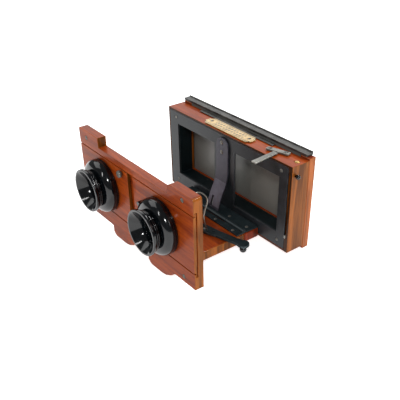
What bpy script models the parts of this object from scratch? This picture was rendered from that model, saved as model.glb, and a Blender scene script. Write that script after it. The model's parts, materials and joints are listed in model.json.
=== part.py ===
"""Folding twin-lens viewing camera of polished mahogany, modelled in metres with +Z up.

X runs across the width, Y runs back from the lens board to the focusing screen, and Z is up.
The origin is on the ground under the middle of the whole instrument.
"""
import math

import bmesh
import bpy
from mathutils import Matrix, Vector

MM = 0.001
GAP = 0.3                      # clearance kept between neighbouring pieces, in mm
CENTRE = (1.8, 38.4)           # X and Y, from the front of the lens board, of the whole's middle

# ---- driving dimensions, in millimetres -------------------------------------------------
BODY_W = 126.0                 # rear body, side to side
BODY_D = 13.8                  # rear body, front to back
BODY_TOP = 62.8                # top of the rear body above the ground
BODY_BOTTOM = 2.4              # underside of the rear body
BACK_D = 5.5                   # separate screen frame behind the body
STANDOFF = 71.8                # front of the lens board to the front of the body

BOARD_W = 124.2                # lens board
BOARD_T = 6.2
BOARD_BOTTOM = 6.9
RAIL_TOP = 60.0                # top rail between the two raised ears
EAR_TOP = 66.5
EAR_INNER = 37.9               # distance of each ear's inner face from the middle
PANEL_BOTTOM = 17.6            # opening that holds the two sliding lens panels
PANEL_TOP = 55.9
PANEL_T = 1.9
LEFT_PANEL_X = (-62.1, -4.5)    # ends of each panel at rest
RIGHT_PANEL_X = (1.5, 61.8)
FACE_GAP = 0.65                # dark line above and below each panel's face
GROOVE = 1.9                   # depth of the rail grooves that hold the panels' tongues

LENS_SPACING = 64.0
LENS_X = (-33.8, 30.2)         # lens axes: the pair stands a little to the left
LENS_Z = 35.9
FLANGE_R = 17.6
RIM_R = 14.1
BARREL_LENGTH = 14.0

WINDOW_X = (10.5, 52.3)        # inner and outer side of each picture window
WINDOW_Z = (13.6, 52.7)

BASE_HALF = 36.0               # baseboard
BASE_BOTTOM = 2.0
BASE_TOP = 8.4
FOLD_AXIS = (59.4, 10.2)       # Y and Z of the hinge that folds the baseboard up to the body
BOARD_AXIS = (8.0, 10.6)       # Y and Z of the hinge that folds the lens board back

SIDE_SEGMENTS = 36

# ---- tidy start ---------------------------------------------------------------------------
for old in list(bpy.data.objects):
    bpy.data.objects.remove(old, do_unlink=True)

PARTS = bpy.data.collections.new("view_camera")
CUTTERS = bpy.data.collections.new("cutters")
bpy.context.scene.collection.children.link(PARTS)
bpy.context.scene.collection.children.link(CUTTERS)


def material(name, colour, roughness, metallic=0.0, transmission=0.0):
    mat = bpy.data.materials.new(name)
    mat.use_nodes = True
    shader = mat.node_tree.nodes["Principled BSDF"]
    shader.inputs["Base Color"].default_value = (*colour, 1.0)
    shader.inputs["Roughness"].default_value = roughness
    shader.inputs["Metallic"].default_value = metallic
    shader.inputs["Transmission Weight"].default_value = transmission
    return mat


MAHOGANY = material("polished_mahogany", (0.36, 0.09, 0.03), 0.25)
DARK_MAHOGANY = material("dark_mahogany", (0.22, 0.06, 0.025), 0.35)
LACQUER = material("black_lacquer", (0.01, 0.01, 0.012), 0.12)
BLACKENED = material("blackened_plate", (0.05, 0.052, 0.055), 0.4, 0.3)
BLACK_WOOD = material("blackened_wood", (0.06, 0.045, 0.035), 0.6)
BLUED_STEEL = material("blued_steel", (0.09, 0.09, 0.11), 0.35, 0.8)
GREY_STEEL = material("grey_steel", (0.3, 0.29, 0.27), 0.4, 0.9)
BRASS = material("brass", (0.8, 0.6, 0.25), 0.3, 0.9)
CREAM = material("cream_plate", (0.8, 0.6, 0.32), 0.4, 0.2)
GLASS = material("lens_glass", (0.9, 0.95, 0.95), 0.02, 0.0, 0.9)
SCREEN = material("ground_glass", (0.35, 0.36, 0.33), 0.5, 0.0, 0.3)


# ---- modelling helpers --------------------------------------------------------------------
def place(obj, mat, collection=PARTS):
    for owner in list(obj.users_collection):
        owner.objects.unlink(obj)
    collection.objects.link(obj)
    obj.data.materials.clear()
    obj.data.materials.append(mat)
    return obj


def new_object(name, bm, mat, collection=PARTS):
    bmesh.ops.recalc_face_normals(bm, faces=bm.faces)
    mesh = bpy.data.meshes.new(name)
    bm.to_mesh(mesh)
    bm.free()
    return place(link(bpy.data.objects.new(name, mesh)), mat, collection)


def link(obj):
    bpy.context.scene.collection.objects.link(obj)
    return obj


def bevel(obj, width, segments=2, angle=40.0):
    mod = obj.modifiers.new("rounded_edges", "BEVEL")
    mod.width = width * MM
    mod.segments = segments
    mod.limit_method = "ANGLE"
    mod.angle_limit = math.radians(angle)
    mod.use_clamp_overlap = True
    return obj


def box(name, x, y, z, mat, round_edges=0.0, segments=2, collection=PARTS):
    """A block between two values on each axis, in mm, with its own centre as origin."""
    size = Vector((x[1] - x[0], y[1] - y[0], z[1] - z[0])) * MM
    bm = bmesh.new()
    bmesh.ops.create_cube(bm, size=1.0)
    bmesh.ops.scale(bm, vec=size, verts=bm.verts)
    obj = new_object(name, bm, mat, collection)
    obj.location = Vector((x[0] + x[1], y[0] + y[1], z[0] + z[1])) * 0.5 * MM
    if round_edges:
        bevel(obj, round_edges, segments)
    return obj


# Each turn carries local +Z onto the named axis. Outlines drawn for "+X" are read as (-Z, Y).
TURN = {
    "+Z": Matrix.Identity(4),
    "-Y": Matrix.Rotation(math.radians(90.0), 4, "X"),
    "+X": Matrix.Rotation(math.radians(90.0), 4, "Y"),
}


def rod(name, centre, radius, length, axis, mat, segments=24, collection=PARTS):
    """A cylinder along one axis, centred on a point in mm."""
    bm = bmesh.new()
    bmesh.ops.create_cone(
        bm, cap_ends=True, segments=segments, radius1=radius * MM, radius2=radius * MM,
        depth=length * MM,
    )
    bmesh.ops.transform(bm, matrix=TURN[axis], verts=bm.verts)
    obj = new_object(name, bm, mat, collection)
    obj.location = Vector(centre) * MM
    smooth(obj)
    return obj


def smooth(obj, angle=35.0):
    obj.data.shade_smooth()
    obj.data.set_sharp_from_angle(angle=math.radians(angle))


def turned(name, profile, base, axis, mat, segments=SIDE_SEGMENTS, collection=PARTS):
    """A solid of revolution. The profile lists (radius, height) in mm from the top down."""
    bm = bmesh.new()
    verts = [bm.verts.new((r * MM, 0.0, h * MM)) for r, h in profile]
    closed = profile[0] == profile[-1]
    if closed:
        bm.verts.remove(verts.pop())
    for first, second in zip(verts, verts[1:]):
        bm.edges.new((first, second))
    if closed:
        bm.edges.new((verts[-1], verts[0]))
    mesh = bpy.data.meshes.new(name)
    bm.to_mesh(mesh)
    bm.free()
    obj = place(link(bpy.data.objects.new(name, mesh)), mat, collection)
    screw = obj.modifiers.new("turned", "SCREW")
    screw.axis = "Z"
    screw.angle = math.tau
    screw.steps = segments
    screw.render_steps = segments
    screw.use_merge_vertices = True
    screw.merge_threshold = 0.00001
    obj.matrix_world = Matrix.Translation(Vector(base) * MM) @ TURN[axis]
    return obj


def plate(name, points, thickness, origin, mat, axis="+Z", collection=PARTS):
    """A flat outline given thickness along an axis: X and Y along +Z, X and Z along -Y."""
    curve = bpy.data.curves.new(name + "_outline", "CURVE")
    curve.dimensions = "2D"
    curve.fill_mode = "BOTH"
    curve.extrude = thickness * 0.5 * MM
    curve.resolution_u = 1
    curve.render_resolution_u = 0
    spline = curve.splines.new("POLY")
    spline.points.add(len(points) - 1)
    for slot, (u, v) in zip(spline.points, points):
        slot.co = (u * MM, v * MM, 0.0, 1.0)
    spline.use_cyclic_u = True
    drawn = link(bpy.data.objects.new(name + "_outline", curve))
    drawn.matrix_world = Matrix.Translation(Vector(origin) * MM) @ TURN[axis]
    bpy.context.view_layer.update()
    graph = bpy.context.evaluated_depsgraph_get()
    mesh = bpy.data.meshes.new_from_object(drawn.evaluated_get(graph))
    mesh.name = name
    bm = bmesh.new()
    bm.from_mesh(mesh)
    bmesh.ops.remove_doubles(bm, verts=bm.verts, dist=0.000002)
    bmesh.ops.recalc_face_normals(bm, faces=bm.faces)
    bm.to_mesh(mesh)
    bm.free()
    obj = place(link(bpy.data.objects.new(name, mesh)), mat, collection)
    obj.matrix_world = drawn.matrix_world.copy()
    bpy.data.objects.remove(drawn, do_unlink=True)
    return obj


def cut(target, *cutters, join=False):
    for cutter in cutters:
        mod = target.modifiers.new("join" if join else "cut", "BOOLEAN")
        mod.operation = "UNION" if join else "DIFFERENCE"
        mod.solver = "EXACT"
        mod.object = cutter
        cutter.hide_render = True
        cutter.display_type = "WIRE"
    return target


def cut_box(name, x, y, z):
    return box(name, x, y, z, DARK_MAHOGANY, collection=CUTTERS)


def cut_rod(name, centre, radius, length, axis, segments=24):
    return rod(name, centre, radius, length, axis, DARK_MAHOGANY, segments, CUTTERS)


def arc(centre, radius, start, stop, steps):
    """Points along an arc, angles in degrees."""
    points = []
    for index in range(steps + 1):
        angle = math.radians(start + (stop - start) * index / steps)
        points.append((centre[0] + radius * math.cos(angle), centre[1] + radius * math.sin(angle)))
    return points


def screw_head(name, point, radius, axis, mat, height=1.0, proud=0.25):
    """A slotted screw let into its piece, its head standing a little proud of the face."""
    direction = TURN[axis].to_3x3() @ Vector((0.0, 0.0, 1.0))
    centre = Vector(point) + direction * (proud - height / 2.0)
    obj = rod(name, centre, radius, height, axis, mat, 12)
    tip = Vector(point) + direction * proud
    long_way = radius * 2.6
    slot = {
        "+Z": ((-long_way, long_way), (-0.16, 0.16), (-0.3, 0.4)),
        "-Y": ((-long_way, long_way), (-0.4, 0.3), (-0.16, 0.16)),
        "+X": ((-0.3, 0.4), (-long_way, long_way), (-0.16, 0.16)),
    }[axis]
    spans = [(tip[i] + slot[i][0], tip[i] + slot[i][1]) for i in range(3)]
    cut(obj, cut_box(name + "_slot", *spans))
    return obj


def screw_hole(target, name, point, radius, axis, depth=1.0):
    """The recess a screw head sits in, a gap wider and deeper than the head."""
    direction = TURN[axis].to_3x3() @ Vector((0.0, 0.0, 1.0))
    centre = Vector(point) + direction * (1.0 - (depth + GAP + 1.0) / 2.0)
    cutter = cut_rod(name + "_recess", centre, radius + GAP, depth + GAP + 1.0, axis, 12)
    return cut(target, cutter)


def fitted_screw(target, name, point, radius, axis, mat, height=1.0, proud=0.25):
    screw_hole(target, name, point, radius, axis, height - proud)
    return screw_head(name, point, radius, axis, mat, height, proud)


# ---- lens board ---------------------------------------------------------------------------
def board_outline():
    """Front view of the lens board: a low top rail between two raised ears."""
    half = BOARD_W / 2.0
    points = [(-half, BOARD_BOTTOM), (half, BOARD_BOTTOM)]
    points += arc((half - 2.0, EAR_TOP - 2.0), 2.0, 0.0, 90.0, 4)
    points += arc((EAR_INNER + 3.0, EAR_TOP - 3.0), 3.0, 90.0, 180.0, 5)
    points += [(EAR_INNER, RAIL_TOP), (-EAR_INNER, RAIL_TOP), (-EAR_INNER, EAR_TOP)]
    points += arc((-half + 1.0, EAR_TOP - 1.0), 1.0, 90.0, 180.0, 3)
    return points


def foot_outline(left):
    """A foot under the board: square and rounded at its left, sloping up at its right."""
    points = [(left, BOARD_BOTTOM + 3.0), (left + 0.1, 2.4)]
    points += arc((left + 4.4, 4.4), 4.4, 210.0, 262.0, 5)
    points += [(left + 14.5, 0.0), (left + 19.0, 0.7), (left + 24.5, 3.4)]
    points += [(left + 29.0, BOARD_BOTTOM), (left + 29.0, BOARD_BOTTOM + 3.0)]
    return points


lens_board = plate("lens_board", board_outline(), BOARD_T, (0.0, BOARD_T / 2.0, 0.0), MAHOGANY, "-Y")
for side, left in (("left", -29.3), ("right", 12.8)):
    foot_at = (0.0, BOARD_T / 2.0, 0.0)
    foot = plate(side + "_foot", foot_outline(left), BOARD_T, foot_at, MAHOGANY, "-Y", CUTTERS)
    cut(lens_board, foot, join=True)
half_board = BOARD_W / 2.0
cut(
    lens_board,
    cut_box("panel_recess", (-half_board - 2, half_board + 2), (-1, 2.4), (PANEL_BOTTOM, PANEL_TOP)),
    cut_box(
        "panel_grooves", (-half_board - 2, half_board + 2), (0.9, 2.4),
        (PANEL_BOTTOM - GROOVE, PANEL_TOP + GROOVE),
    ),
)
for side, lens_x in zip(("left", "right"), LENS_X):
    cut(lens_board, cut_rod(side + "_light_hole", (lens_x, 3.0, LENS_Z), 15.6, 20.0, "-Y", 40))
bevel(lens_board, 0.35, 1, 50.0)


def lens_panel(side, ends, lens_x):
    face = (PANEL_BOTTOM + FACE_GAP, PANEL_TOP - FACE_GAP)
    tongue = (PANEL_BOTTOM - GROOVE + GAP, PANEL_TOP + GROOVE - GAP)
    panel = box(side + "_panel", ends, (0.0, PANEL_T), face, MAHOGANY)
    cut(panel, cut_box(side + "_tongue", ends, (1.2, PANEL_T), tongue), join=True)
    cut(panel, cut_rod(side + "_panel_hole", (lens_x, 1.0, LENS_Z), 12.6, 12.0, "-Y", 40))
    return panel


left_panel = lens_panel("left", LEFT_PANEL_X, LENS_X[0])
right_panel = lens_panel("right", RIGHT_PANEL_X, LENS_X[1])


def barrel(side, lens_x):
    """A turned lens barrel: wide domed base on the panel, threaded waist, flared front cup."""
    base = (lens_x, -GAP, LENS_Z)
    dome = [(FLANGE_R - 6.3 * (1.0 - math.cos(t)), 2.9 + 5.2 * math.sin(t))
            for t in [math.radians(22.5 * k) for k in range(4, 0, -1)]]
    base_profile = [(9.3, 8.1)] + dome + [(FLANGE_R, 2.9), (FLANGE_R, 0.4), (FLANGE_R - 0.4, 0.0)]
    base_profile += [(12.3, 0.0), (12.3, 1.2), (9.3, 1.6), (9.3, 8.1)]
    drum = turned(side + "_barrel", base_profile, base, "-Y", LACQUER)

    lip = BARREL_LENGTH
    cup_profile = [(12.8, lip), (RIM_R - 0.2, lip), (RIM_R, lip - 0.3), (RIM_R, lip - 1.7)]
    cup_profile += [(RIM_R - 0.4, lip - 2.0), (12.2, lip - 2.3), (12.2, lip - 2.8)]
    cup_profile += [(13.0, lip - 3.0), (13.0, lip - 3.7), (11.9, lip - 3.9), (11.9, lip - 4.3)]
    cup_profile += [(12.4, lip - 4.5), (12.4, lip - 5.0), (11.5, lip - 5.2), (11.5, 8.1 + GAP)]
    cup_profile += [(9.0, 8.1 + GAP), (9.0, 2.2), (8.0, 2.2), (8.0, 6.5)]
    for third in (1.0 / 3.0, 2.0 / 3.0, 1.0):
        cup_profile.append((8.0 + 4.5 * third ** 1.5, 6.5 + (lip - 6.8) * third))
    cup_profile += [(12.8, lip)]
    cup = turned(side + "_eye_cup", cup_profile, base, "-Y", LACQUER)

    glass = [(0.0, 5.8), (3.2, 5.5), (5.8, 4.7), (7.7, 3.6), (7.7, 2.6), (0.0, 2.6)]
    lens = turned(side + "_lens", glass, base, "-Y", GLASS, 32)
    return drum, cup, lens


for side, lens_x in zip(("left", "right"), LENS_X):
    barrel(side, lens_x)

stop_pillar = rod("barrel_stop", (11.4, -1.9, 42.6), 1.6, 3.2, "-Y", LACQUER, 16)
bevel(stop_pillar, 0.3, 1, 60.0)

# Clamp knob of the left panel.
KNOB = (-10.9, -GAP, 53.0)
knob_profile = [(0.0, 2.6), (1.7, 2.6), (2.2, 2.2), (2.4, 1.4), (2.2, 0.6), (1.4, 0.3)]
knob_profile += [(1.4, 0.0), (0.0, 0.0)]
panel_knob = turned("panel_knob", knob_profile, KNOB, "-Y", GREY_STEEL, 24)

BOARD_SCREWS = (
    ("board_screw_top_left", (-53.0, 0.0, 61.8)),
    ("board_screw_top_right", (52.0, 0.0, 61.8)),
    ("board_screw_low_right", (51.0, 0.0, 10.6)),
    ("board_screw_low_left", (-51.0, 0.0, 10.6)),
)
for name, point in BOARD_SCREWS:
    fitted_screw(lens_board, name, point, 1.3, "-Y", GREY_STEEL)

# ---- baseboard and its metalwork ----------------------------------------------------------
baseboard = box(
    "baseboard", (-BASE_HALF, BASE_HALF), (BOARD_T + GAP, FOLD_AXIS[0] - 0.2), (BASE_BOTTOM, BASE_TOP),
    MAHOGANY, 0.5,
)
LEAF_Z = (BASE_TOP + GAP, BASE_TOP + GAP + 1.0)


def hinge_leaf(name, span_y, segments, axis_yz, knuckle_r, width, mat):
    """A hinge leaf flat on the wood, with knuckles round the axis on the named X segments."""
    leaf = box(name, (-width, width), span_y, LEAF_Z, mat)
    near = span_y[1] if span_y[1] < axis_yz[0] else span_y[0]
    web = sorted((near, axis_yz[0]))
    web = (web[0] - 0.2, web[1]) if near < axis_yz[0] else (web[0], web[1] + 0.2)
    for index, (x0, x1) in enumerate(segments):
        tag = "%s_knuckle_%d" % (name, index)
        centre = ((x0 + x1) / 2.0, axis_yz[0], axis_yz[1])
        cut(leaf, cut_rod(tag, centre, knuckle_r, x1 - x0, "+X", 16), join=True)
        cut(leaf, cut_box(tag + "_web", (x0, x1), web, LEAF_Z), join=True)
    return leaf


OUTER_KNUCKLES = ((-35.7, -18.0), (18.0, 35.7))
MIDDLE_KNUCKLE = ((-17.7, 17.7),)
front_leaf = hinge_leaf(
    "fold_hinge_front", (53.4, 57.6), OUTER_KNUCKLES, FOLD_AXIS, 1.4, 35.7, BLUED_STEEL
)
rear_leaf = hinge_leaf(
    "fold_hinge_rear", (61.2, 71.2), MIDDLE_KNUCKLE, FOLD_AXIS, 1.4, 35.7, BLUED_STEEL
)
leaf_top = LEAF_Z[1]
for number, x in enumerate((-29.0, -11.0, 11.0, 29.0), 1):
    name = "hinge_screw_front_%d" % number
    fitted_screw(front_leaf, name, (x, 55.5, leaf_top), 1.1, "+Z", GREY_STEEL, 0.8)
for number, x in enumerate((-24.0, 14.0, 31.5), 1):
    name = "hinge_screw_rear_%d" % number
    fitted_screw(rear_leaf, name, (x, 65.2, leaf_top), 1.1, "+Z", GREY_STEEL, 0.8)

# Hinge of the lens board, behind it and out of sight from the front.
SMALL_KNUCKLES = ((-24.0, -12.0), (12.0, 24.0))
base_leaf = hinge_leaf("board_hinge_base", (9.4, 17.0), SMALL_KNUCKLES, BOARD_AXIS, 1.1, 24.0, BRASS)
board_leaf = box("board_hinge_leaf", (-24.0, 24.0), (BOARD_T + GAP, BOARD_T + 1.2), (12.0, 20.0), BRASS)
web_z = (BOARD_AXIS[1], 12.5)
cut(
    board_leaf,
    cut_rod("board_knuckle", (0.0, *BOARD_AXIS), 1.1, 23.4, "+X", 16),
    cut_box("board_knuckle_web", (-11.7, 11.7), (BOARD_T + 0.7, BOARD_T + 1.2), web_z),
    join=True,
)

# Swinging lever with its ball knob under the outer end.
LEVER_Z = (BASE_TOP + 0.4, BASE_TOP + 1.9)
PIVOT = (-4.0, 36.8)
KNOB_AT = (45.8, 50.0)
lever_angle = math.atan2(KNOB_AT[1] - PIVOT[1], KNOB_AT[0] - PIVOT[0])
lever_length = math.hypot(KNOB_AT[0] - PIVOT[0], KNOB_AT[1] - PIVOT[1])


def lever_outline():
    """Arm along +X from its pivot: wide at the pivot, waisted, and round at the outer end."""
    points = arc((0.0, 0.0), 4.2, 100.0, 260.0, 6)
    points += [(20.0, -3.9), (32.0, -2.9), (lever_length - 6.0, -2.7)]
    points += arc((lever_length, 0.0), 4.0, 230.0, 490.0, 10)
    points += [(lever_length - 6.0, 2.7), (32.0, 2.9), (20.0, 3.9)]
    return points


lever = plate("lever", lever_outline(), LEVER_Z[1] - LEVER_Z[0], (0, 0, 0), BLUED_STEEL)
lever.matrix_world = (
    Matrix.Translation(Vector((PIVOT[0], PIVOT[1], sum(LEVER_Z) / 2.0)) * MM)
    @ Matrix.Rotation(lever_angle, 4, "Z")
)
cut(lever, cut_rod("lever_boss", (*KNOB_AT, 8.6), 2.5, 1.2, "+Z", 20), join=True)
cut(lever, cut_rod("lever_pivot_bore", (PIVOT[0], PIVOT[1], 9.0), 1.6, 8.0, "+Z", 20))
cut(lever, cut_rod("lever_spare_hole", (23.2, 43.9, 9.0), 1.0, 8.0, "+Z", 16))
pivot_profile = [(0.0, 11.9), (2.2, 11.9), (2.6, 11.5), (2.6, 10.6), (1.3, 10.6), (1.3, 5.0)]
pivot_profile.append((0.0, 5.0))
lever_pivot = turned("lever_pivot", pivot_profile, (PIVOT[0], PIVOT[1], 0.0), "+Z", GREY_STEEL, 20)
cut(baseboard, cut_rod("pivot_bore", (PIVOT[0], PIVOT[1], 6.6), 1.6, 3.8, "+Z", 20))
fitted_screw(lever, "stay_screw", (16.6, 42.2, LEVER_Z[1]), 1.3, "+Z", GREY_STEEL)

ball = [(0.0, 7.7), (1.2, 7.7)]
for step in range(11):
    angle = math.radians(37.0 + 12.9 * step)
    ball.append((2.3 * math.sin(angle), 5.8 + 2.3 * math.cos(angle)))
ball.append((0.0, 3.5))
knob = turned("lever_knob", ball, (*KNOB_AT, 0.0), "+Z", LACQUER, 20)


def wire(name, points, radius, mat, resolution=2):
    """A round wire through the points, smoothed into a curve and capped at both ends."""
    smooth_points = []
    for index in range(len(points) - 1):
        p0 = Vector(points[max(index - 1, 0)])
        p1 = Vector(points[index])
        p2 = Vector(points[index + 1])
        p3 = Vector(points[min(index + 2, len(points) - 1)])
        for step in range(3):
            t = step / 3.0
            smooth_points.append(0.5 * (
                2.0 * p1 + (p2 - p0) * t + (2.0 * p0 - 5.0 * p1 + 4.0 * p2 - p3) * t * t
                + (3.0 * p1 - p0 - 3.0 * p2 + p3) * t * t * t
            ))
    smooth_points.append(Vector(points[-1]))
    curve = bpy.data.curves.new(name, "CURVE")
    curve.dimensions = "3D"
    curve.bevel_depth = radius * MM
    curve.bevel_resolution = resolution
    curve.use_fill_caps = True
    curve.render_resolution_u = 0
    spline = curve.splines.new("POLY")
    spline.points.add(len(smooth_points) - 1)
    for slot, point in zip(spline.points, smooth_points):
        slot.co = (*(point * MM), 1.0)
    return place(link(bpy.data.objects.new(name, curve)), mat)


# Spring wire standing on the lever: up, over and forward towards the back of the lens board.
STAY_YZ = (
    (41.4, 10.9), (39.8, 16.0), (38.7, 21.5), (39.8, 26.5), (41.6, 31.0),
    (41.4, 34.5), (39.0, 38.0), (35.2, 40.8), (31.0, 41.0), (27.4, 39.2), (24.6, 36.2),
)
stay = wire("spring_stay", [(20.0, y, z) for y, z in STAY_YZ], 0.5, GREY_STEEL)

# ---- rear body ----------------------------------------------------------------------------
half = BODY_W / 2.0
front_y = STANDOFF
back_y = STANDOFF + BODY_D
rear_block = box(
    "rear_block", (-BASE_HALF, BASE_HALF), (FOLD_AXIS[0] + 0.4, front_y - GAP),
    (BASE_BOTTOM, BASE_TOP), MAHOGANY, 0.4,
)

rear_body = box("rear_body", (-half, half), (front_y, back_y), (BODY_BOTTOM, BODY_TOP), MAHOGANY)
cut(
    rear_body,
    cut_box("body_opening", (-53.4, 53.4), (front_y - 2, back_y - 2.0), (12.5, 53.8)),
    cut_box("back_opening", (-WINDOW_X[1], WINDOW_X[1]), (back_y - 4, back_y + 2), WINDOW_Z),
    cut_box("plate_seat", (-61.9, 59.7), (front_y - 2, front_y + 1.3), (3.6, 61.5)),
    cut_box("slide_slot", (58.4, 61.3), (front_y - 2, front_y + 6.0), (12.4, 57.6)),
)
bevel(rear_body, 0.35, 1, 50.0)

plate_outline = [(-61.6, 3.9), (59.4, 3.9)] + arc((57.4, 59.2), 2.0, 0.0, 90.0, 4)
plate_outline += arc((-60.6, 60.2), 1.0, 90.0, 180.0, 2)
front_plate = plate("front_plate", plate_outline, 1.0, (0.0, front_y + 0.5, 0.0), BLACKENED, "-Y")
for tag, sign in (("left", -1.0), ("right", 1.0)):
    span = sorted((sign * WINDOW_X[0], sign * WINDOW_X[1]))
    cut(front_plate, cut_box(tag + "_window", span, (front_y - 2, front_y + 3), WINDOW_Z))

baffle = box("light_baffle", (-53.1, 53.1), (front_y + 1.3, back_y - 2.3), (12.8, 53.5), BLACK_WOOD)
cut(baffle, cut_box("chamber", (-WINDOW_X[1], WINDOW_X[1]), (front_y - 2, back_y + 3), WINDOW_Z))

PLATE_CORNERS = (
    ("top_left", -54.3, 57.2), ("top_right", 53.6, 57.2),
    ("low_left", -53.8, 8.4), ("low_right", 53.2, 8.0),
)
for tag, x, z in PLATE_CORNERS:
    fitted_screw(front_plate, "plate_screw_" + tag, (x, front_y, z), 1.1, "-Y", GREY_STEEL, 0.8)


def strip(path, thickness):
    """Closed outline of a thin bent strip along a path of (Y, Z) points."""
    left = []
    right = []
    for index, point in enumerate(path):
        before = Vector(path[max(index - 1, 0)])
        after = Vector(path[min(index + 1, len(path) - 1)])
        run = (after - before).normalized()
        side = Vector((-run.y, run.x)) * thickness / 2.0
        left.append(Vector(point) + side)
        right.append(Vector(point) - side)
    return left + right[::-1]


# Leaf that runs from the middle bar of the plate down and forward to the hinge of the baseboard.
STRUT_YZ = (
    (71.0, 59.9), (71.0, 46.0), (71.0, 37.0), (70.6, 33.0), (69.7, 29.0), (68.3, 25.5),
    (66.6, 22.0), (65.1, 18.5), (63.9, 15.0), (63.0, 12.0), (62.5, 10.1),
)
strut_outline = [(-p.y, p.x) for p in strip(STRUT_YZ, 1.0)]
STRUT_X = -0.9
strut = plate("brace", strut_outline, 11.8, (STRUT_X, 0.0, 0.0), BLUED_STEEL, "+X")
brace_end = [(-8.0, 54.0), (-5.9, 54.0)] + arc((0.0, 54.0), 5.9, 180.0, 0.0, 10)[1:-1]
brace_end += [(5.9, 54.0), (8.0, 54.0), (8.0, 64.0), (-8.0, 64.0)]
cut(
    strut,
    plate("brace_round_end", brace_end, 6.0, (STRUT_X, 71.0, 0.0), BLUED_STEEL, "-Y", CUTTERS),
    cut_box("brace_slot", (-3.9, -2.1), (58.0, 70.0), (11.2, 18.6)),
)
KEY_YZ = ((66.55, 18.1), (65.1, 14.9), (64.1, 11.7))
key_outline = [(-p.y, p.x) for p in strip(KEY_YZ, 1.0)]
brace_key = plate("brace_key", key_outline, 1.1, (-3.0, 0.0, 0.0), GREY_STEEL, "+X")
for number, z in enumerate((56.4, 49.6), 1):
    fitted_screw(strut, "brace_screw_%d" % number, (-1.4, 70.5, z), 1.5, "-Y", GREY_STEEL, 0.7)

# ---- screen frame and lift-out screen ------------------------------------------------------
frame_y = (back_y + GAP, back_y + BACK_D)
FRAME_TOP = 63.9
screen_frame = box("screen_frame", (-half, half), frame_y, (0.0, FRAME_TOP), DARK_MAHOGANY)
cut(
    screen_frame,
    cut_box("frame_window", (-WINDOW_X[1], WINDOW_X[1]), (back_y - 2, back_y + 9), WINDOW_Z),
    cut_box("screen_slot", (-55.0, 55.0), (frame_y[0] - 1.0, frame_y[0] + 2.3), (10.6, 70.0)),
)
bevel(screen_frame, 0.35, 1, 50.0)
glass_y = (frame_y[0] + 0.2, frame_y[0] + 2.0)
screen = box("ground_glass", (-54.6, 54.6), glass_y, (11.0, FRAME_TOP + 0.1), SCREEN)
RAIL_X = (-62.8, 60.4)
rail_y = (frame_y[0] - 0.2, frame_y[1])
screen_rail = box("screen_rail", RAIL_X, rail_y, (FRAME_TOP + 0.4, FRAME_TOP + 2.0), GREY_STEEL)
lip_z = (FRAME_TOP + 1.0, FRAME_TOP + 2.7)
cut(screen_rail, cut_box("rail_lip", RAIL_X, (rail_y[1] - 0.8, rail_y[1]), lip_z), join=True)
stop_strip = box("rail_stop_strip", (-40.0, 34.0), (82.3, 85.2), (BODY_TOP + GAP, BODY_TOP + 0.8), GREY_STEEL)

# ---- fittings on the top and the side ------------------------------------------------------
def nameplate_outline():
    """A long label with scalloped corners."""
    centre = (-1.3, 77.3)
    long_half = 23.0
    short_half = 4.5
    points = []
    for sx, sy, start in ((1, 1, 270.0), (-1, 1, 360.0), (-1, -1, 90.0), (1, -1, 180.0)):
        corner = (centre[0] + sx * long_half, centre[1] + sy * short_half)
        points += arc(corner, 2.2, start, start - 90.0, 4)
    return points


nameplate = plate("nameplate", nameplate_outline(), 0.6, (0.0, 0.0, BODY_TOP + GAP + 0.3), CREAM)
for number, x in enumerate((-20.3, 17.7), 1):
    point = (x, 77.7, BODY_TOP + GAP + 0.6)
    fitted_screw(nameplate, "nameplate_screw_%d" % number, point, 1.0, "+Z", GREY_STEEL, 0.6, 0.3)

CATCH_Z = BODY_TOP + GAP
catch_bar = box("catch_bar", (-8.0, 8.0), (-1.7, 1.7), (0.0, 1.3), GREY_STEEL, 0.25, 1)
CATCH_TURN = math.radians(16.0)
catch_bar.matrix_world = (
    Matrix.Translation(Vector((42.6, 79.2, CATCH_Z)) * MM) @ Matrix.Rotation(CATCH_TURN, 4, "Z")
    @ Matrix.Translation(Vector((0.0, 0.0, 0.65)) * MM)
)
for number, shift in enumerate((-5.6, 5.6), 1):
    x = 42.6 + shift * math.cos(CATCH_TURN)
    y = 79.2 + shift * math.sin(CATCH_TURN)
    point = (x, y, CATCH_Z + 1.3)
    fitted_screw(catch_bar, "catch_screw_%d" % number, point, 1.0, "+Z", GREY_STEEL, 0.9)
TONGUE_AXIS = (43.3, 76.6, CATCH_Z + 0.2)
tongue = box("catch_tongue", (-1.9, 1.9), (-19.6, 0.0), (0.0, 1.0), GREY_STEEL, 0.2, 1)
tongue.matrix_world = (
    Matrix.Translation(Vector(TONGUE_AXIS) * MM) @ Matrix.Rotation(math.radians(5.0), 4, "Z")
    @ Matrix.Translation(Vector((0.0, -9.8, 0.5)) * MM)
)

plug = rod("brass_plug", (59.2, 79.0, BODY_TOP - 0.3), 1.5, 1.2, "+Z", BRASS, 20)
cut(rear_body, cut_rod("plug_bore", (59.2, 79.0, BODY_TOP), 1.8, 2.4, "+Z", 20))

PIN_YZ = (74.6, 56.4)
pin_profile = [(0.0, 66.6), (0.7, 66.4), (1.3, 65.8), (1.6, 65.0), (1.3, 64.2), (0.8, 63.6)]
pin_profile += [(0.6, 63.4), (0.6, 58.9), (0.0, 58.9)]
side_pin = turned("side_pin", pin_profile, (0.0, PIN_YZ[0], PIN_YZ[1]), "+X", LACQUER, 16)
cut(rear_body, cut_rod("pin_bore", (60.5, PIN_YZ[0], PIN_YZ[1]), 0.9, 8.0, "+X", 16))
slot_tab = box("slot_tab", (59.8, 61.0), (front_y - 0.6, front_y + 4.0), (12.7, 14.6), GREY_STEEL)

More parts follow.
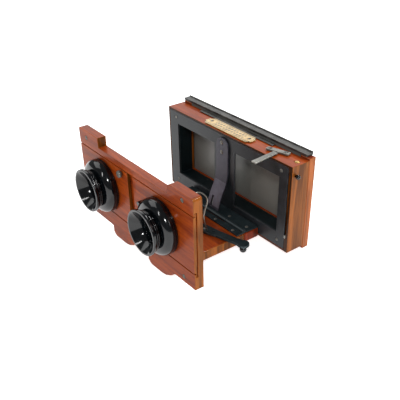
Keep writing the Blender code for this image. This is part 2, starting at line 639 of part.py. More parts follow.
# ---- joints ---------------------------------------------------------------------------------
# Each empty stands on the axis of one joint, and the pieces that move with it hang from it.
JOINTS = (
    ("main_fold_axis", (0.0, *FOLD_AXIS), None, (
        "baseboard", "fold_hinge_front", "board_hinge_base", "lever_pivot", "hinge_screw_front_1",
        "hinge_screw_front_2", "hinge_screw_front_3", "hinge_screw_front_4",
    )),
    ("board_fold_axis", (0.0, *BOARD_AXIS), "main_fold_axis", (
        "lens_board", "board_hinge_leaf", "board_screw_top_left", "board_screw_top_right",
        "board_screw_low_left", "board_screw_low_right",
    )),
    ("lever_swing_axis", (*PIVOT, LEVER_Z[0]), "main_fold_axis", (
        "lever", "lever_knob", "stay_screw", "spring_stay",
    )),
    ("left_panel_slide", (LENS_X[0], 0.0, LENS_Z), "board_fold_axis", (
        "left_panel", "left_barrel", "left_lens",
    )),
    ("right_panel_slide", (LENS_X[1], 0.0, LENS_Z), "board_fold_axis", (
        "right_panel", "right_barrel", "right_lens", "barrel_stop",
    )),
    ("left_cup_axis", (LENS_X[0], -8.0, LENS_Z), "left_panel_slide", ("left_eye_cup",)),
    ("right_cup_axis", (LENS_X[1], -8.0, LENS_Z), "right_panel_slide", ("right_eye_cup",)),
    ("clamp_axis", KNOB, "left_panel_slide", ("panel_knob",)),
    ("catch_axis", TONGUE_AXIS, None, ("catch_tongue",)),
    ("screen_slide", (0.0, glass_y[0], FRAME_TOP), None, ("ground_glass", "screen_rail")),
    ("pin_slide", (half, *PIN_YZ), None, ("side_pin",)),
)


def hang(child, parent):
    """Makes one object follow another and leaves it where it stands."""
    child.parent = parent
    child.matrix_parent_inverse = parent.matrix_world.inverted()


axes = {}
for name, point, _, _ in JOINTS:
    axes[name] = bpy.data.objects.new(name, None)
    axes[name].empty_display_size = 0.01
    axes[name].location = Vector(point) * MM
    PARTS.objects.link(axes[name])
bpy.context.view_layer.update()
for name, _, parent, pieces in JOINTS:
    if parent:
        hang(axes[name], axes[parent])
    for piece in pieces:
        hang(bpy.data.objects[piece], axes[name])
for part in PARTS.objects:
    for mod in part.modifiers:
        if mod.type == "BOOLEAN":
            hang(mod.object, part)

# Bring the middle of the whole instrument over the origin.
for obj in [*PARTS.objects, *CUTTERS.objects]:
    if obj.parent is None:
        obj.location -= Vector((*CENTRE, 0.0)) * MM
bpy.context.view_layer.update()
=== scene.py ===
"""Looks of a folding twin-lens view camera of polished mahogany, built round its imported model."""

import json
import math

import bmesh
import bpy
from mathutils import Matrix, Vector


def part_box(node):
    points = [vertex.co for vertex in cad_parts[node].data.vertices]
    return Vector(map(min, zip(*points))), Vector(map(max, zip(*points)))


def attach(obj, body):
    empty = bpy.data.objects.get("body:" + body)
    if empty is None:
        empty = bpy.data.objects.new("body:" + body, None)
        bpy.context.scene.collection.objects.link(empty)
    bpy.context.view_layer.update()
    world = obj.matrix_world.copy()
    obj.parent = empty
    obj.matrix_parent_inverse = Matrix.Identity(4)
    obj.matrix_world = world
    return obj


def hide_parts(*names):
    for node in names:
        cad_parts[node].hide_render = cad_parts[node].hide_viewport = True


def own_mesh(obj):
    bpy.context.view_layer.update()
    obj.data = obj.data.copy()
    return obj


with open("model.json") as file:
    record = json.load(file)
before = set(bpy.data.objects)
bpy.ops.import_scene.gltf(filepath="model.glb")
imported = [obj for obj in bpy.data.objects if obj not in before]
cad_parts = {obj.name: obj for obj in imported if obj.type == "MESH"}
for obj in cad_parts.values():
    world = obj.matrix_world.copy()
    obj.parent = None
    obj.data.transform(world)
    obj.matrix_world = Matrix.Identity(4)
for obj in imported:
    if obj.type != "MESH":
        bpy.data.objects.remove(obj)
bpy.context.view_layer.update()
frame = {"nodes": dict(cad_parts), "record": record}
NODES = frame["nodes"]
BODY_OF = {
    node: body
    for body, names in frame["record"]["behaviour"]["bodies"].items()
    for node in names
}

MM = 0.001
MIDDLE = Vector((1.8, 38.4, 0.0))        # middle of the instrument, measured from the board's front
WHITE = (1.0, 1.0, 1.0, 1.0)


def spot(x, y, z):
    """A point in mm measured from the middle of the lens board's front, as a place in metres."""
    return (Vector((x, y, z)) - MIDDLE) * MM


# ---- camera ------------------------------------------------------------------------------------
CAMERA_PLACE = (0.28205, -0.19944, 0.22220)
CAMERA_TARGET = (-0.00882, 0.02897, -0.03000)
CAMERA_ROLL = math.radians(-0.4231)
CAMERA_SHIFT = (-0.0329, 0.1238)         # moves the instrument off the middle of the view
FOCAL_LENGTH = 54.57
SENSOR_WIDTH = 36.0
NEAREST = 0.01


def aim(obj, target, roll=0.0):
    """Points an object's -Z axis at a target, with its Y axis upright apart from the roll."""
    forward = (Vector(target) - obj.location).normalized()
    right = forward.cross(Vector((0.0, 0.0, 1.0))).normalized()
    up = right.cross(forward)
    turned_right = right * math.cos(roll) + up * math.sin(roll)
    turned_up = up * math.cos(roll) - right * math.sin(roll)
    obj.rotation_euler = Matrix((turned_right, turned_up, -forward)).transposed().to_euler()


camera = bpy.data.objects.new("camera", bpy.data.cameras.new("camera"))
bpy.context.scene.collection.objects.link(camera)
camera.location = CAMERA_PLACE
aim(camera, CAMERA_TARGET, CAMERA_ROLL)
camera.data.lens = FOCAL_LENGTH
camera.data.sensor_width = SENSOR_WIDTH
camera.data.shift_x, camera.data.shift_y = CAMERA_SHIFT
camera.data.clip_start = NEAREST
bpy.context.scene.camera = camera
bpy.context.scene.view_settings.view_transform = "Standard"


# ---- material tools ----------------------------------------------------------------------------
def new_material(name, **values):
    """A material with its shader's inputs set by name, such as coat_weight for Coat Weight."""
    mat = bpy.data.materials.new(name)
    mat.use_nodes = True
    shader = mat.node_tree.nodes["Principled BSDF"]
    for key, value in values.items():
        shader.inputs[key.replace("_", " ").title().replace("Ior", "IOR")].default_value = value
    return mat, mat.node_tree, shader


def add(tree, kind, inputs=None, **settings):
    """Adds a node, with each input either linked to a socket or set to a value."""
    node = tree.nodes.new(kind)
    for key, value in settings.items():
        setattr(node, key, value)
    for key, value in (inputs or {}).items():
        if isinstance(value, bpy.types.NodeSocket):
            tree.links.new(value, node.inputs[key])
        else:
            node.inputs[key].default_value = value
    return node


def math_node(tree, operation, first, second=0.0):
    return add(tree, "ShaderNodeMath", {0: first, 1: second}, operation=operation).outputs[0]


def apart(tree, first, second):
    """How far two values are from each other."""
    return math_node(tree, "ABSOLUTE", math_node(tree, "SUBTRACT", first, second))


def rise(tree, factor, amount, least):
    """A value that rises from its least by a factor times an amount."""
    node = add(tree, "ShaderNodeMath", {0: factor, 1: amount, 2: least}, operation="MULTIPLY_ADD")
    return node.outputs[0]


def noise(tree, scale, detail=3.0, rough=0.5, distortion=0.0):
    """Noise in object space; scale gives cycles per metre, for all axes or for each."""
    if isinstance(scale, float):
        scale = (scale, scale, scale)
    coords = add(tree, "ShaderNodeTexCoord")
    mapping = add(tree, "ShaderNodeMapping", {"Vector": coords.outputs["Object"], "Scale": scale})
    node = add(tree, "ShaderNodeTexNoise", {
        "Vector": mapping.outputs[0], "Scale": 1.0, "Detail": detail, "Roughness": rough,
        "Distortion": distortion,
    })
    return node.outputs["Fac"]


def stretched(axis, scale, across):
    """Noise scale of a grain that runs along one axis, finer by a factor across it."""
    return [scale if name == axis else across * scale for name in "XYZ"]


def ramp(tree, factor, *stops):
    node = add(tree, "ShaderNodeValToRGB", {"Fac": factor})
    elements = node.color_ramp.elements
    while len(elements) < len(stops):
        elements.new(0.5)
    for element, (position, colour) in zip(elements, stops):
        element.position = position
        element.color = (*colour, 1.0)
    return node.outputs["Color"]


def grey(value):
    return (value, value, value)


def blend_colour(tree, factor, first, second, mode="MIX"):
    node = add(tree, "ShaderNodeMix", data_type="RGBA", blend_type=mode)
    for index, value in ((0, factor), (6, first), (7, second)):
        socket = node.inputs[index]
        if isinstance(value, bpy.types.NodeSocket):
            tree.links.new(value, socket)
        else:
            socket.default_value = (*value, 1.0) if isinstance(value, tuple) else value
    return node.outputs[2]


def bump(tree, height, distance, strength):
    inputs = {"Height": height, "Distance": distance, "Strength": strength}
    return add(tree, "ShaderNodeBump", inputs).outputs["Normal"]


def edge_wear(tree):
    """1 on the small sloping faces along a piece's edges, 0 elsewhere."""
    return add(tree, "ShaderNodeAttribute", attribute_name="edge").outputs["Fac"]


# ---- wood --------------------------------------------------------------------------------------
FIGURE, STREAK, PORE = 14.0, 60.0, 240.0     # cycles per metre along the grain
WOOD_ACROSS = 12.0                           # times finer across it
END_GRAIN = (190.0, 190.0, 13.0)             # upright lines on the ends of the boards
WARM = (1.0, 0.62, 0.38, 1.0)


def wood(name, dark, light, end, front=None):
    """Polished wood: grain along X, another tone on its ends, partly end grain and partly painted
    side light, and, if asked, its front.
    """
    mat, tree, shader = new_material(name, roughness=0.42, coat_weight=0.14, coat_roughness=0.035,
                                     specular_ior_level=0.12, specular_tint=WARM)
    figure = noise(tree, stretched("X", FIGURE, WOOD_ACROSS), 4.0, 0.55, 1.2)
    streak = noise(tree, stretched("X", STREAK, WOOD_ACROSS), 6.0, 0.65, 0.4)
    cloud = noise(tree, 22.0, 2.0)
    mixed = math_node(tree, "ADD", math_node(tree, "MULTIPLY", figure, 0.55),
                      math_node(tree, "MULTIPLY", streak, 0.45))
    medium = tuple((a + b) / 2 for a, b in zip(dark, light))
    tone = ramp(tree, mixed, (0.34, dark), (0.50, medium), (0.64, light))
    tone = blend_colour(tree, math_node(tree, "MULTIPLY", cloud, 0.35), tone, dark)

    pores = noise(tree, stretched("X", PORE, WOOD_ACROSS), 2.0)
    pores = ramp(tree, pores, (0.30, grey(0.45)), (0.42, grey(1.0)))
    tone = blend_colour(tree, 0.55, tone, pores, "MULTIPLY")

    normal = add(tree, "ShaderNodeTexCoord").outputs["Normal"]
    facing = add(tree, "ShaderNodeSeparateXYZ", {0: normal})
    # Faces facing ±X take the end tone. It is partly end grain and partly painted light: lighter
    # and more orange, like sides lit from the right.
    sides = math_node(tree, "ABSOLUTE", facing.outputs["X"])
    upright = noise(tree, END_GRAIN, 4.0, 0.6, 0.8)
    end_grain_and_light_tone = ramp(tree, upright, (0.40, tuple(c * 0.42 for c in end)),
                    (0.60, tuple(c * 1.35 for c in end)))
    tone = blend_colour(tree, math_node(tree, "POWER", sides, 2.0), tone, end_grain_and_light_tone)

    worn = math_node(tree, "MULTIPLY", edge_wear(tree), noise(tree, 90.0))
    tone = blend_colour(tree, worn, tone, tuple(min(1.0, c * 1.3) for c in end))
    if front:
        forward = math_node(tree, "MULTIPLY", facing.outputs["Y"], -1.0)
        tone = blend_colour(tree, math_node(tree, "GREATER_THAN", forward, 0.8), tone, front)
    tree.links.new(tone, shader.inputs["Base Color"])
    tree.links.new(rise(tree, streak, 0.25, 0.30), shader.inputs["Roughness"])
    tree.links.new(bump(tree, streak, 0.00012, 0.35), shader.inputs["Normal"])
    tree.links.new(bump(tree, noise(tree, 55.0, 2.0), 0.0006, 0.10), shader.inputs["Coat Normal"])
    return mat


RED = ((0.120, 0.012, 0.0015), (0.370, 0.062, 0.005))
BROWN = ((0.10, 0.012, 0.004), (0.26, 0.035, 0.010))
# GOLD, the tone of the boards' ends, is partly end grain and partly painted light falling on the
# sides.
GOLD = (0.215, 0.062, 0.008)
MAHOGANY = wood("mahogany_along_x", *RED, GOLD)
MAHOGANY_BODY = wood("mahogany_body", *RED, GOLD, (0.030, 0.011, 0.005))
# The block's ends are darker and redder than GOLD: painted shade and painted inter-reflection from
# the body beside them.
MAHOGANY_BLOCK = wood("mahogany_block", *RED, (0.20, 0.022, 0.005))
MAHOGANY_FRAME = wood("mahogany_frame", *BROWN, (0.30, 0.085, 0.022))


# ---- metal and lacquer -------------------------------------------------------------------------
TARNISH = 120.0                              # cycles per metre
BRUSH, BRUSH_ACROSS = 300.0, 14.0
BRUSH_DEPTH = 0.00003


def metal(name, dark, light, metallic, roughness, brush="X", coat=0.0, shine=0.5):
    """Aged metal: cloudy tarnish over a fine brushed or filed grain."""
    mat, tree, shader = new_material(name, metallic=metallic, coat_weight=coat,
                                     coat_roughness=0.15, specular_ior_level=shine)
    cloud = noise(tree, TARNISH, 5.0, 0.6)
    fine = noise(tree, stretched(brush, BRUSH, BRUSH_ACROSS), 3.0, 0.6)
    tone = ramp(tree, cloud, (0.35, dark), (0.65, light))
    tone = blend_colour(tree, math_node(tree, "MULTIPLY", fine, 0.35), tone, dark)
    bright = tuple(min(1.0, c * 2.2 + 0.04) for c in light)
    tone = blend_colour(tree, math_node(tree, "MULTIPLY", edge_wear(tree), cloud), tone, bright)
    tree.links.new(tone, shader.inputs["Base Color"])
    tree.links.new(rise(tree, cloud, 0.3, roughness - 0.15), shader.inputs["Roughness"])
    tree.links.new(bump(tree, fine, BRUSH_DEPTH, 0.5), shader.inputs["Normal"])
    return mat


def lacquer(name, tone):
    """Glossy lacquer with a faint cloudiness."""
    mat, tree, shader = new_material(name, specular_ior_level=0.5)
    cloud = noise(tree, 260.0, 4.0, 0.6)
    lighter = tuple(c * 2.5 + 0.001 for c in tone)
    tree.links.new(ramp(tree, cloud, (0.4, tone), (0.8, lighter)), shader.inputs["Base Color"])
    tree.links.new(rise(tree, cloud, 0.16, 0.03), shader.inputs["Roughness"])
    tree.links.new(bump(tree, cloud, 0.00005, 0.15), shader.inputs["Normal"])
    return mat


LACQUER = lacquer("black_lacquer", (0.0008, 0.0015, 0.0022))
PLATE = metal("blackened_plate", (0.006, 0.009, 0.011), (0.020, 0.024, 0.028), 0.1, 0.46,
              coat=0.1, shine=0.35)
BLACK_WOOD = metal("blackened_wood", (0.001, 0.004, 0.005), (0.004, 0.010, 0.012), 0.0, 0.5,
                   shine=0.2)
BLUED = metal("blued_steel", (0.030, 0.030, 0.042), (0.062, 0.060, 0.080), 0.4, 0.42, "Z")
HINGE = metal("dark_hinge", (0.006, 0.012, 0.014), (0.020, 0.030, 0.034), 0.0, 0.55, shine=0.15)
STEEL = metal("grey_steel", (0.08, 0.078, 0.070), (0.27, 0.26, 0.235), 0.7, 0.38)
CATCH = metal("worn_steel", (0.09, 0.09, 0.08), (0.24, 0.235, 0.21), 0.3, 0.42)
RAIL = metal("dark_rail", (0.014, 0.014, 0.013), (0.085, 0.083, 0.077), 0.4, 0.45)
WIRE = metal("spring_wire", (0.16, 0.15, 0.13), (0.42, 0.40, 0.35), 0.85, 0.32, "Z")
BRASS = metal("brass", (0.30, 0.17, 0.04), (0.62, 0.42, 0.14), 0.9, 0.32)


# ---- glass and label ---------------------------------------------------------------------------
def glass(name):
    """Clear glass with a slight green cast."""
    mat, tree, shader = new_material(name, roughness=0.0, transmission_weight=1.0, ior=1.52)
    tint = ramp(tree, noise(tree, 90.0, 2.0), (0.3, (0.80, 0.84, 0.80)), (0.7, (0.92, 0.94, 0.90)))
    tree.links.new(tint, shader.inputs["Base Color"])
    return mat


def ground_glass(name):
    """Opaque grey frosted glass."""
    mat, tree, shader = new_material(name, coat_weight=0.35, coat_roughness=0.18)
    frost = noise(tree, 900.0, 3.0, 0.7)
    cloud = noise(tree, 16.0)
    tone = ramp(tree, cloud, (0.3, (0.090, 0.092, 0.084)), (0.7, (0.155, 0.154, 0.138)))
    frosted = blend_colour(tree, math_node(tree, "MULTIPLY", frost, 0.2), tone, (0.16, 0.16, 0.15))
    tree.links.new(frosted, shader.inputs["Base Color"])
    tree.links.new(bump(tree, frost, 0.00003, 0.4), shader.inputs["Normal"])
    return mat


LABEL_X, LABEL_Y = -1.3, 77.3                # middle of the label, in mm
DASH_RATE, DASH_GAP = 2300.0, -0.35          # radians per metre, and the sine below the gaps
DASH_REACH, DASH_HALF_HEIGHT = 0.0150, 0.00085
ROW_SHIFTS = (1.25, -1.45)                   # of the two rows from the middle, in mm
BORDER_REACH_X, BORDER_REACH_Y, BORDER_HALF_WIDTH = 0.0219, 0.0035, 0.00030


def label(name):
    """Cream plate with an engraved border and two rows of plain dashes, without lettering."""
    mat, tree, shader = new_material(name, metallic=0.15, roughness=0.38, coat_weight=0.3,
                                     coat_roughness=0.2)
    coords = add(tree, "ShaderNodeTexCoord")
    place = add(tree, "ShaderNodeSeparateXYZ", {0: coords.outputs["Object"]})
    x, y = place.outputs["X"], place.outputs["Y"]
    centre = spot(LABEL_X, LABEL_Y, 0.0)
    dashes = math_node(tree, "SINE", math_node(tree, "MULTIPLY", x, DASH_RATE))
    dashes = math_node(tree, "GREATER_THAN", dashes, DASH_GAP)
    inside = math_node(tree, "LESS_THAN", apart(tree, x, centre.x), DASH_REACH)
    upper, lower = [
        math_node(tree, "LESS_THAN", apart(tree, y, centre.y + shift * MM), DASH_HALF_HEIGHT)
        for shift in ROW_SHIFTS
    ]
    ink = math_node(tree, "MULTIPLY", math_node(tree, "MAXIMUM", upper, lower), dashes)
    ink = math_node(tree, "MULTIPLY", ink, inside)
    for socket, middle, reach in ((x, centre.x, BORDER_REACH_X), (y, centre.y, BORDER_REACH_Y)):
        line = apart(tree, apart(tree, socket, middle), reach)
        border = math_node(tree, "LESS_THAN", line, BORDER_HALF_WIDTH)
        ink = math_node(tree, "MAXIMUM", ink, border)
    aged = noise(tree, 160.0, 4.0, 0.6)
    tone = ramp(tree, aged, (0.35, (0.34, 0.22, 0.065)), (0.62, (0.55, 0.37, 0.13)))
    tone = blend_colour(tree, math_node(tree, "MULTIPLY", ink, 0.9), tone, (0.07, 0.055, 0.025))
    tree.links.new(tone, shader.inputs["Base Color"])
    height = math_node(tree, "SUBTRACT", 1.0, ink)
    tree.links.new(bump(tree, height, 0.00004, 0.6), shader.inputs["Normal"])
    return mat


LENS = glass("lens_glass")
SCREEN = ground_glass("ground_glass")
CREAM = label("cream_plate")


# ---- building tools ----------------------------------------------------------------------------
def publish(name, bm, mat, body, replaced, sharp):
    """Turns a bmesh into a piece that rides on a body and stands for the named CAD nodes."""
    mesh = bpy.data.meshes.new(name)
    bmesh.ops.recalc_face_normals(bm, faces=bm.faces)
    bm.to_mesh(mesh)
    bm.free()
    mesh.shade_smooth()
    mesh.set_sharp_from_angle(angle=math.radians(sharp))
    mesh.materials.append(mat)
    obj = bpy.data.objects.new(name, mesh)
    bpy.context.scene.collection.objects.link(obj)
    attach(obj, body)
    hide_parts(*replaced)
    return obj


WELD = 0.000002                              # vertices closer than this are one
FLAT = math.radians(0.6)                     # faces that meet at less are merged
CORNER = math.radians(50.0)                  # edges sharper than this are rounded
SQUARE_ON = 0.96                             # a face along an axis has a larger normal component
LARGEST_WORN = 3e-4                          # square metres
REFINED_SHARP = 32.0


def refine(node, mat, width):
    """A finished copy of a CAD node: welded, its edges rounded, worn edges marked."""
    bm = bmesh.new()
    bm.from_mesh(NODES[node].data)
    bmesh.ops.remove_doubles(bm, verts=bm.verts, dist=WELD)
    bmesh.ops.dissolve_limit(bm, angle_limit=FLAT, verts=bm.verts, edges=bm.edges)
    if width:
        edges = [e for e in bm.edges if e.is_manifold and e.calc_face_angle(0.0) > CORNER]
        bmesh.ops.bevel(bm, geom=edges, offset=width * MM, segments=2, profile=0.5,
                        affect="EDGES", clamp_overlap=True)
    for face in bm.faces:
        face.normal_update()
    layer = bm.loops.layers.float_color.new("edge")
    for face in bm.faces:
        sloping = max(abs(c) for c in face.normal) < SQUARE_ON
        worn = 1.0 if sloping and face.calc_area() < LARGEST_WORN else 0.0
        for loop in face.loops:
            loop[layer] = (worn, worn, worn, 1.0)
    obj = publish(node + "_finish", bm, mat, BODY_OF[node], [node], REFINED_SHARP)
    obj.modifiers.new("even_shading", "WEIGHTED_NORMAL").keep_sharp = True


def fillet(profile, radius, steps=3):
    """Rounds each inner corner of a (radius, height) profile."""
    points = [profile[0]]
    for before, corner, after in zip(profile, profile[1:], profile[2:]):
        corner_v = Vector(corner)
        to_before = Vector(before) - corner_v
        to_after = Vector(after) - corner_v
        reach = min(radius, to_before.length * 0.45, to_after.length * 0.45)
        start = corner_v + to_before.normalized() * reach
        stop = corner_v + to_after.normalized() * reach
        for k in range(steps + 1):
            t = k / steps
            points.append(tuple(start * (1 - t) ** 2 + corner_v * 2 * t * (1 - t) + stop * t * t))
    points.append(profile[-1])
    return points


TURN = {
    "+Z": Matrix.Identity(4),
    "-Y": Matrix.Rotation(math.radians(90.0), 4, "X"),
    "+X": Matrix.Rotation(math.radians(90.0), 4, "Y"),
}


def lathe(profile, base, axis, steps):
    """Spins a (radius, height) profile in mm about an axis through a place in metres."""
    bm = bmesh.new()
    closed = profile[0] == profile[-1]
    rings = []
    for radius, height in profile[:-1] if closed else profile:
        if radius < 1e-6:
            rings.append([bm.verts.new((0.0, 0.0, height * MM))])
            continue
        rings.append([
            bm.verts.new((radius * MM * math.cos(math.tau * k / steps),
                          radius * MM * math.sin(math.tau * k / steps), height * MM))
            for k in range(steps)
        ])
    pairs = list(zip(rings, rings[1:]))
    if closed:
        pairs.append((rings[-1], rings[0]))
    for first, second in pairs:
        for k in range(steps):
            n = (k + 1) % steps
            if len(first) == 1:
                bm.faces.new((first[0], second[k], second[n]))
            elif len(second) == 1:
                bm.faces.new((first[k], second[0], first[n]))
            else:
                bm.faces.new((first[k], second[k], second[n], first[n]))
    bmesh.ops.transform(bm, matrix=Matrix.Translation(base) @ TURN[axis], verts=bm.verts)
    return bm


def turned(node, profile, base, axis, mat, radius, steps, sharp=40.0):
    """A turned piece in place of a CAD node, its corners rounded to a radius in mm."""
    bm = lathe(fillet(profile, radius) if radius else profile, base, axis, steps)
    publish(node + "_finish", bm, mat, BODY_OF[node], [node], sharp)


# ---- woodwork, plates, hinges and levers -------------------------------------------------------
FINISHES = (                                 # node, material, slot, width of rounded edges in mm
    ("lens_board", MAHOGANY, "polished_mahogany", 0.0),
    ("rear_body", MAHOGANY_BODY, "polished_mahogany", 0.0),
    ("left_panel", MAHOGANY, "polished_mahogany", 0.15),
    ("right_panel", MAHOGANY, "polished_mahogany", 0.15),
    ("baseboard", MAHOGANY, "polished_mahogany", 0.0),
    ("rear_block", MAHOGANY_BLOCK, "polished_mahogany", 0.0),
    ("screen_frame", MAHOGANY_FRAME, "dark_mahogany", 0.0),
    ("front_plate", PLATE, "blackened_plate", 0.12),
    ("light_baffle", BLACK_WOOD, "blackened_wood", 0.15),
    ("brace", BLUED, "blued_steel", 0.15),
    ("lever", HINGE, "blued_steel", 0.2),
    ("fold_hinge_front", HINGE, "blued_steel", 0.12),
    ("fold_hinge_rear", HINGE, "blued_steel", 0.12),
    ("board_hinge_base", BRASS, "brass", 0.12),
    ("board_hinge_leaf", BRASS, "brass", 0.12),
    ("screen_rail", RAIL, "grey_steel", 0.15),
    ("rail_stop_strip", RAIL, "grey_steel", 0.1),
    ("catch_bar", CATCH, "grey_steel", 0.0),
    ("catch_tongue", CATCH, "grey_steel", 0.0),
    ("brace_key", CATCH, "grey_steel", 0.1),
    ("slot_tab", STEEL, "grey_steel", 0.15),
    ("nameplate", CREAM, "cream_plate", 0.1),
    ("ground_glass", SCREEN, "ground_glass", 0.15),
)
for node, mat, slot, width in FINISHES:
    refine(node, mat, width)


# ---- lens barrels, cups and glasses ------------------------------------------------------------
PANEL_FACE = -0.3                            # Y of the sliding panels' faces
LENS_X = {"left": -33.8, "right": 30.2}
LENS_Z = 35.9
FLANGE_R = 17.6                              # widest radius of a drum
SOCKET_R = 9.3                               # opening that takes the cup
DRUM_TOP = 8.1
DOME_FOOT, DOME_RISE, DOME_INSET = 2.9, 5.2, 6.3
RIM_R = 14.1                                 # widest radius of a cup
LIP = 14.0                                   # height of a cup's rim
FLARE_FOOT, FLARE_R, FLARE_SPREAD = 6.5, 8.0, 4.5
GLASS_R, GLASS_ARC = 7.7, 0.62
GLASS_FRONT, GLASS_BULGE, GLASS_BACK = 5.8, 2.2, 2.6

dome = [
    (FLANGE_R - DOME_INSET * (1.0 - math.cos(t)), DOME_FOOT + DOME_RISE * math.sin(t))
    for t in [math.radians(7.5 * k) for k in range(12, 0, -1)]
]
drum = [
    (SOCKET_R, DRUM_TOP), *dome, (FLANGE_R, DOME_FOOT),
    (FLANGE_R, 1.5), (FLANGE_R - 0.4, 1.35), (FLANGE_R, 1.2), (FLANGE_R, 0.4),
    (FLANGE_R - 0.4, 0.0), (12.3, 0.0), (12.3, 1.2), (SOCKET_R, 1.6), (SOCKET_R, DRUM_TOP),
]
flare = [
    (FLARE_R + FLARE_SPREAD * (k / 10.0) ** 1.5, FLARE_FOOT + (LIP - 6.8) * k / 10.0)
    for k in range(1, 11)
]
cup = [
    (12.8, LIP), (RIM_R - 0.2, LIP), (RIM_R, LIP - 0.3), (RIM_R, LIP - 1.7),
    (RIM_R - 0.4, LIP - 2.0), (12.2, LIP - 2.3), (12.2, LIP - 2.8),
    (13.0, LIP - 3.0), (13.0, LIP - 3.7), (11.9, LIP - 3.9), (11.9, LIP - 4.3),
    (12.4, LIP - 4.5), (12.4, LIP - 5.0), (11.5, LIP - 5.2), (11.5, 8.4),
    (9.0, 8.4), (9.0, 2.2), (FLARE_R, 2.2), (FLARE_R, FLARE_FOOT), *flare, (12.8, LIP),
]
bulge = [
    (GLASS_R * math.sin(t) / math.sin(GLASS_ARC),
     GLASS_FRONT - GLASS_BULGE * (1 - math.cos(t)) / (1 - math.cos(GLASS_ARC)))
    for t in [GLASS_ARC * k / 10.0 for k in range(1, 11)]
]
pane = [(0.0, GLASS_FRONT), *bulge, (GLASS_R, GLASS_BACK), (0.0, GLASS_BACK)]
for side, lens_x in LENS_X.items():
    base = spot(lens_x, PANEL_FACE, LENS_Z)
    turned(side + "_barrel", drum, base, "-Y", LACQUER, 0.0, 128, 30.0)
    turned(side + "_eye_cup", cup, base, "-Y", LACQUER, 0.14, 128)
    turned(side + "_lens", pane, base, "-Y", LENS, 0.0, 96)


# ---- small turned pieces -----------------------------------------------------------------------
STOP_AT = spot(11.4, PANEL_FACE, 42.6)
PANEL_KNOB_AT = spot(-10.9, PANEL_FACE, 53.0)
PIVOT_AT = spot(-4.0, 36.8, 0.0)
LEVER_KNOB_AT = spot(45.8, 50.0, 0.0)
PIN_AT = spot(0.0, 74.6, 56.4)
PLUG_AT = spot(59.2, 79.0, 0.0)
BALL_R, BALL_Z = 2.3, 5.8

stop = [(0.0, 3.2), (1.6, 3.2), (1.6, 0.9), (1.35, 0.7), (1.6, 0.5), (1.6, 0.0), (0.0, 0.0)]
turned("barrel_stop", stop, STOP_AT, "-Y", LACQUER, 0.25, 48)
knob = [(0.0, 2.6), (1.7, 2.6), (2.2, 2.2), (2.4, 1.4), (2.2, 0.6), (1.4, 0.3), (1.4, 0.0),
        (0.0, 0.0)]
turned("panel_knob", knob, PANEL_KNOB_AT, "-Y", STEEL, 0.3, 48)
pivot = [(0.0, 11.9), (2.2, 11.9), (2.6, 11.5), (2.6, 10.6), (1.3, 10.6), (1.3, 5.0), (0.0, 5.0)]
turned("lever_pivot", pivot, PIVOT_AT, "+Z", STEEL, 0.2, 48)
ball = [
    (BALL_R * math.sin(t), BALL_Z + BALL_R * math.cos(t))
    for t in [math.radians(37.0 + 7.1 * k) for k in range(20)]
]
ball = [(0.0, 7.7), (1.2, 7.7), *ball, (0.0, 3.5)]
turned("lever_knob", ball, LEVER_KNOB_AT, "+Z", LACQUER, 0.0, 48)
pin = [(0.0, 66.6), (0.7, 66.4), (1.3, 65.8), (1.6, 65.0), (1.3, 64.2), (0.8, 63.6), (0.6, 63.4),
       (0.6, 58.9), (0.0, 58.9)]
turned("side_pin", pin, PIN_AT, "+X", LACQUER, 0.25, 40)
plug = [(0.0, 63.1), (1.2, 63.1), (1.5, 62.9), (1.5, 61.9), (0.0, 61.9)]
turned("brass_plug", plug, PLUG_AT, "+Z", BRASS, 0.1, 40)


# ---- screws ------------------------------------------------------------------------------------
SLOT_HALF_WIDTH = 0.17 * MM
SLOT_DEPTH = 0.42                            # mm
FIRST_TURN, NEXT_TURN = 0.6, 1.9             # radians; each slot stands at its own angle
SCREW_AXES = {
    "board": "-Y", "plate": "-Y", "brace": "-Y",
    "hinge": "+Z", "catch": "+Z", "namepl": "+Z", "stay": "+Z",
}


def screw(node, axis, slot_angle):
    """A domed slotted head in place of the plain one."""
    low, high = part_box(node)
    centre = (low + high) / 2.0
    along = TURN[axis].to_3x3() @ Vector((0.0, 0.0, 1.0))
    height = abs((high - low).dot(along)) / MM
    across = [abs(c) < 0.5 for c in along].index(True)
    radius = (high - low)[across] / MM / 2.0
    top = height / 2.0
    profile = [(0.0, top), (radius * 0.45, top - 0.04), (radius * 0.8, top - 0.13),
               (radius, top - 0.3), (radius, -top), (0.0, -top)]
    bm = lathe(fillet(profile, 0.05, 2), Vector((0.0, 0.0, 0.0)), "+Z", 40)
    bmesh.ops.transform(bm, matrix=Matrix.Rotation(slot_angle, 4, "Z"), verts=bm.verts)
    for side in (-SLOT_HALF_WIDTH, SLOT_HALF_WIDTH):
        bmesh.ops.bisect_plane(bm, geom=[*bm.verts, *bm.edges, *bm.faces],
                               plane_co=(0.0, side, 0.0), plane_no=(0.0, 1.0, 0.0), dist=1e-8)
    for vert in bm.verts:
        if abs(vert.co.y) < SLOT_HALF_WIDTH * 0.98 and vert.co.z > 0.0:
            vert.co.z = min(vert.co.z, (top - SLOT_DEPTH) * MM)
    bmesh.ops.transform(bm, matrix=Matrix.Translation(centre) @ TURN[axis], verts=bm.verts)
    publish(node + "_finish", bm, STEEL, BODY_OF[node], [node], 30.0)


for count, node in enumerate(sorted(name for name in NODES if "screw" in name)):
    axis = next(value for key, value in SCREW_AXES.items() if node.startswith(key))
    screw(node, axis, FIRST_TURN + NEXT_TURN * count)


# ---- spring stay -------------------------------------------------------------------------------
STAY_X = 20.0
STAY_YZ = (                                  # from its foot on the lever to its free end
    (41.4, 10.9), (39.8, 16.0), (38.7, 21.5), (39.8, 26.5), (41.6, 31.0), (41.4, 34.5),
    (39.0, 38.0), (35.2, 40.8), (31.0, 41.0), (27.4, 39.2), (24.6, 36.2),
)
STAY_R = 0.5


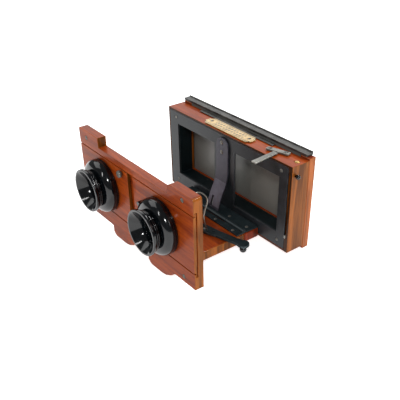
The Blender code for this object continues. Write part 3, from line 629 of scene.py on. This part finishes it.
def smooth_path(points, steps):
    """A Catmull-Rom curve through the points."""
    path = []
    for index in range(len(points) - 1):
        p0 = points[max(index - 1, 0)]
        p1, p2 = points[index], points[index + 1]
        p3 = points[min(index + 2, len(points) - 1)]
        for k in range(steps):
            t = k / steps
            path.append(0.5 * (2 * p1 + (p2 - p0) * t + (2 * p0 - 5 * p1 + 4 * p2 - p3) * t * t
                               + (3 * p1 - p0 - 3 * p2 + p3) * t ** 3))
    return path + [points[-1]]


def tube(path, radius, sides=16):
    """A round wire along a path that lies in a plane across X."""
    bm = bmesh.new()
    side = Vector((1.0, 0.0, 0.0))
    rings = []
    for index, point in enumerate(path):
        run = (path[min(index + 1, len(path) - 1)] - path[max(index - 1, 0)]).normalized()
        up = run.cross(side).normalized()
        ring = []
        for k in range(sides):
            angle = math.tau * k / sides
            out = side * math.cos(angle) + up * math.sin(angle)
            ring.append(bm.verts.new(point + out * radius))
        rings.append(ring)
    for first, second in zip(rings, rings[1:]):
        for k in range(sides):
            n = (k + 1) % sides
            bm.faces.new((first[k], first[n], second[n], second[k]))
    bm.faces.new(rings[0])
    bm.faces.new(rings[-1][::-1])
    return bm


wire = tube(smooth_path([spot(STAY_X, y, z) for y, z in STAY_YZ], 6), STAY_R * MM)
stay = publish("spring_stay_finish", wire, WIRE, "lever_group", ["spring_stay"], 60.0)
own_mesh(stay)


# ---- floor and light ---------------------------------------------------------------------------
FLOOR_HALF = 4.0
FLOOR_Z = -0.0002                            # a hair below the feet
SKY_STRENGTH = 0.18
LIGHTS = (                                   # name, place, target, size in metres, watts
    ("key_left", (-0.95, -0.45, 1.05), (0.0, 0.0, 0.0), (1.1, 0.9), 6.0),
    ("fill_right", (1.0, 0.25, 0.65), (0.0, 0.0, 0.03), (0.4, 0.4), 1.5),
    ("near_viewer", (0.70, -0.60, 0.75), (0.0, 0.0, 0.03), (0.12, 0.12), 4.5),
    ("front_window", (-0.05, -1.0, 0.80), (0.0, 0.0, 0.03), (0.08, 0.45), 2.0),
    ("back_panel", (-0.85, 0.60, 0.70), (0.0, 0.0, 0.03), (1.0, 0.8), 5.0),
    ("back_strip", (0.25, 0.50, 0.82), (0.25, 0.0, 0.03), (0.95, 0.05), 8.0),
)

floor_mat = new_material("floor", roughness=0.9, base_color=(0.80, 0.80, 0.80, 1.0),
                         emission_color=WHITE, emission_strength=0.75)[0]
floor_mesh = bpy.data.meshes.new("floor")
bm = bmesh.new()
bmesh.ops.create_grid(bm, x_segments=1, y_segments=1, size=FLOOR_HALF)
bm.to_mesh(floor_mesh)
bm.free()
floor_mesh.materials.append(floor_mat)
floor = bpy.data.objects.new("floor", floor_mesh)
bpy.context.scene.collection.objects.link(floor)
floor.location = (0.0, 0.0, FLOOR_Z)

world = bpy.data.worlds.new("studio")
world.use_nodes = True
world.node_tree.nodes["Background"].inputs["Color"].default_value = WHITE
world.node_tree.nodes["Background"].inputs["Strength"].default_value = SKY_STRENGTH
bpy.context.scene.world = world


def softbox(name, location, target, size, power):
    data = bpy.data.lights.new(name, "AREA")
    data.shape = "RECTANGLE"
    data.size, data.size_y = size
    data.energy = power
    lamp = bpy.data.objects.new(name, data)
    bpy.context.scene.collection.objects.link(lamp)
    lamp.location = location
    aim(lamp, target)


for light in LIGHTS:
    softbox(*light)
